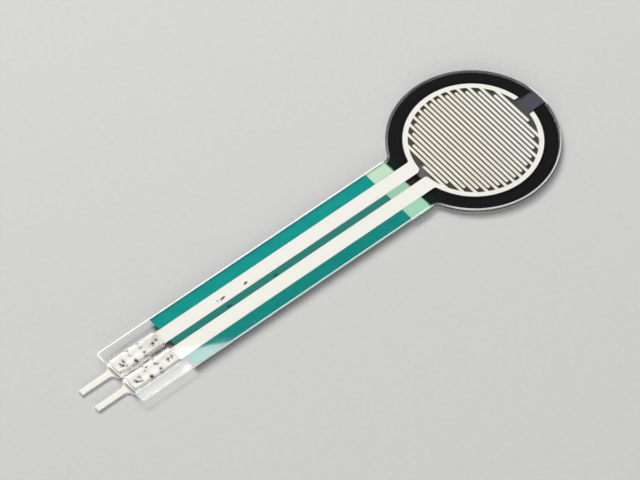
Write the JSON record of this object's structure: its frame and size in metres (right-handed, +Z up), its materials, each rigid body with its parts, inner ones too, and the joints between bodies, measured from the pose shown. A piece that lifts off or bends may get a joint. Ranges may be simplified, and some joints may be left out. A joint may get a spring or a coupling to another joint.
{
  "type": "force sensing resistor",
  "caption": "Flat round force sensing resistor: clear film disc over interleaved silver fingers and a black print, with an insulated tail ending in crimped solder tabs.",
  "frame": {"origin": "centre of the round sensing disc on the underside of the release liner, where the sensor lies or sticks down", "axes": "+Z up through the sensing face, +X along the tail towards the disc so that the tail and its solder tabs point along -X, +Y completes the right-handed set"},
  "size_m": [0.0603, 0.0182, 0.0008],
  "materials": {
    "liner_paper": "smooth coated paper",
    "clear_adhesive": "clear acrylic adhesive",
    "clear_film": "clear glossy polymer film",
    "carbon_ink": "matt black printed ink",
    "green_adhesive": "pale green translucent adhesive",
    "insulating_ink": "opaque blue-green printed ink",
    "silver_ink": "satin printed silver",
    "tinned_brass": "bright tin plate"
  },
  "bodies": {
    "root": {"release_liner": "liner_paper", "rear_adhesive": "clear_adhesive", "semiconductor_film": "clear_film", "semiconductor_print": "carbon_ink", "spacer_adhesive": "green_adhesive", "tail_insulation": "insulating_ink", "electrode_film": "clear_film", "left_electrode_print": "silver_ink", "right_electrode_print": "silver_ink", "left_solder_tab": "tinned_brass", "right_solder_tab": "tinned_brass"}
  },
  "joints": []
}
